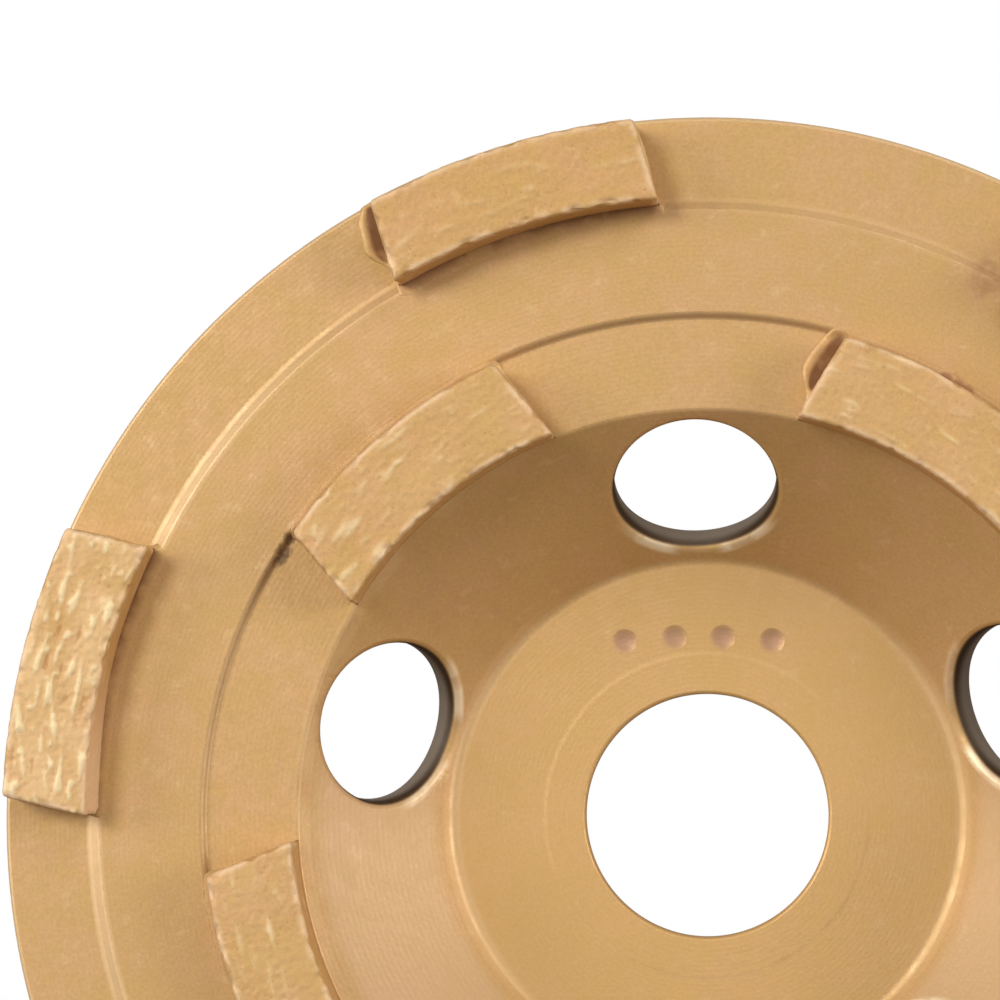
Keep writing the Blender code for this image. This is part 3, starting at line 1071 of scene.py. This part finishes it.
# %% The segments' paint
BOND_PAINT = {"Gold": (0.60, 0.355, 0.128, 1), "Yellow": (0.65, 0.42, 0.12, 1)}
BOND_PAINT |= {"Pink": (0.69, 0.38, 0.19, 1), "Drift": 0.4, "Freckles": 0.15}
RUBBED_GOLD, RUBBED_CREAM = (0.84, 0.58, 0.30, 1), (0.93, 0.76, 0.45, 1)
PIT_ORANGE, EDGE_PINK = (0.46, 0.20, 0.07, 1), (0.89, 0.64, 0.40, 1)
# painted shade at the foot of each segment
FOOT_BROWN = (0.24, 0.12, 0.05, 1)

bond_paint, net, shader, where = new_material("painted_bond", 0.30)
coat = net.use(gold_coat, {"Place": where, **BOND_PAINT})
grain = net.stored("grain")
grit = net.add("TexVoronoi", {"Vector": where, "Scale": 1500})["Distance"]
rubbed = net.times(net.step(grain, 0.50, 1.05), 0.8)
pitted = net.times(net.step(grain, 0.44, 0.26), 0.55)
# pale chipped edges, and a painted highlight on the leaning inner side
wear = net.times(net.stored("wear"), 0.6, True)
colour = net.mix(net.stored("rub"), coat["Colour"], RUBBED_GOLD)
colour = net.mix(rubbed, colour, RUBBED_CREAM)
colour = net.mix(pitted, colour, PIT_ORANGE)
colour = net.mix(wear, colour, EDGE_PINK)
# paints the shade at the foot of each segment
colour = net.mix(net.times(net.stored("foot"), 0.35), colour, FOOT_BROWN)
colour = net.mix(1.0, colour, net.step(grit, 0.05, 0.22, 0.86, 1.03), "MULTIPLY")
roughness = net.math("ADD", coat["Roughness"], 0.12)
height = net.math("ADD", coat["Height"], net.times(grit, 0.8))
finish_material(net, shader, colour, roughness, height, 0.05 * MM)
print("segment paint nodes:", len(net.tree.nodes))

# %% [markdown]
# ## The braze's paint
# The bead is painted with the rest, so it takes the same coat. Its crevice and the filled side are painted
# dark brown and dull: painted shade in the crevice and the segment's painted shadow on the filled side, and
# noise breaks that up. Dark reddish painted shade in the crevice at the upper right runs on over the bead.

# %% The braze's paint
# painted shade for the crevice and the segment's shadow on the filled side
CREVICE_SHADE = (0.23, 0.095, 0.038, 1)
# dark reddish painted shade in the crevice, running on over the bead
BEAD_REDDISH_SHADE = ((21.5, 38.75), (22.6, 38.1), (23.4, 37.6))

bead_paint, net, shader, where = new_material("painted_braze", 0.40)
coat = net.use(gold_coat, {"Place": where, **GOLD_PAINT, "Freckles": 0.2})
crevice = net.step(net.stored("crevice"), 0.15, 0.9)
broken = net.step(net.noise(where, 420, 2)[0], 0.3, 0.55, 0.45, 1.0)
dark = net.times(crevice, broken)
# paints the crevice's shade and the segment's shadow on the bead
colour = net.mix(net.times(dark, 0.9), coat["Colour"], CREVICE_SHADE)
for x, y in BEAD_REDDISH_SHADE:
    # paints the dark reddish shade of the crevice over the bead
    reddish_shade = net.times(spot(net, where, (x * MM, y * MM, RIDGE), 0.85 * MM), 0.6)
    colour = net.mix(reddish_shade, colour, REDDISH_SHADE)
roughness = net.math("ADD", coat["Roughness"], net.times(dark, 0.35))
finish_material(net, shader, colour, roughness, coat["Height"], 0.03 * MM)
print("materials:", [material.name for material in (cup_paint, bond_paint, bead_paint)])

# %% [markdown]
# ## Setting the segments
# Each segment is a copy of its ring's blank with a mesh and a seed of its own, so no two are alike. It is
# roughened where it lies, joined with its bead, and turned about the axis to its place. The outer one on
# the left is the most worn, with the boldest grain. The turn is then applied, which leaves the object at
# the origin with its place in its mesh.

# %% Setting the segments
# strength of the grain, how much the top is rubbed, how much the inner side leans
MOST_WORN = (1.0, 0.55, 1.0)
WORN = {"outer": (0.22, 0.03, 0), "inner": (0.38, 0.14, 0)}
FIRST_SEED = {"outer": 0, "inner": 10}


def set_segment(ring, number):
    row = ring["name"]
    seed = FIRST_SEED[row] + number
    piece = blanks[row].copy()
    piece.data = blanks[row].data.copy()
    piece.name = piece.data.name = f"{row}_diamond_segment_{number}"
    bpy.context.scene.collection.objects.link(piece)
    roughen(piece, ring, seed, *(MOST_WORN if (row, number) == ("outer", 1) else WORN[row]))
    piece.data.materials.append(bond_paint)
    bead = braze_bead(ring, number, seed)
    bead.data.materials.append(bead_paint)
    pick_piece(piece)
    bead.select_set(True)
    bpy.ops.object.join()
    piece.rotation_euler.z = math.radians(ring["first"] - 360 * (number - 1) / ring["count"])
    bpy.ops.object.transform_apply(location=False, rotation=True, scale=False)
    ready(piece, f"{row}_segment_{number}")
    return piece


segments = [set_segment(ring, number + 1) for ring in (OUTER, INNER) for number in range(ring["count"])]
for blank in blanks.values():
    bpy.data.objects.remove(blank, do_unlink=True)
ready(cup, "wheel_body")
print("segments:", len(segments), "faces each about", len(segments[0].data.polygons))

# %% [markdown]
